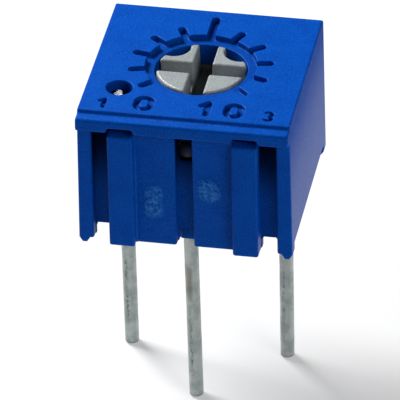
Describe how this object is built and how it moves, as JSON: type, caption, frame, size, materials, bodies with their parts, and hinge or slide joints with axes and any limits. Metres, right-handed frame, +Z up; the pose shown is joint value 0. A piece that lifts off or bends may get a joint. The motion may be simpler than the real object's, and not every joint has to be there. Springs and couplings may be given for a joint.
{
  "type": "trimmer potentiometer",
  "caption": "Small square through-hole trimmer resistor with a slotted top adjuster, engraved dial and round leads.",
  "frame": {"origin": "on the adjuster's turning axis, at the surface of the circuit board that the feet stand on", "axes": "+Z up along the adjuster's axis, -Y towards the ribbed front with the middle lead, +X from lead 1 to lead 3"},
  "size_m": [0.0066, 0.0066, 0.0109],
  "materials": {
    "blue_moulding": "satin moulded thermoplastic",
    "grey_moulding": "satin moulded thermoplastic",
    "spring_alloy": "bright rolled spring alloy",
    "ceramic_plate": "matt fired alumina",
    "resistive_film": "matt fired film",
    "conductor_film": "dull fired metal film",
    "solder": "bright solder",
    "tinned_wire": "dull tin plate with light scratches"
  },
  "bodies": {
    "body": {"housing": "blue_moulding", "base": "blue_moulding", "substrate": "ceramic_plate", "resistive_track": "resistive_film", "collector_track": "conductor_film", "termination_1": "conductor_film", "termination_3": "conductor_film", "solder_1": "solder", "solder_2": "solder", "solder_3": "solder", "lead_1": "tinned_wire", "lead_2": "tinned_wire", "lead_3": "tinned_wire"},
    "adjuster": {"rotor": "grey_moulding", "wiper": "spring_alloy"}
  },
  "joints": [
    {"name": "adjuster_turn", "type": "hinge", "parent": "body", "child": "adjuster", "pos_m": [0, 0, 0.0042], "axis": [0, 0, 1], "range_deg": [-132, 132]}
  ]
}
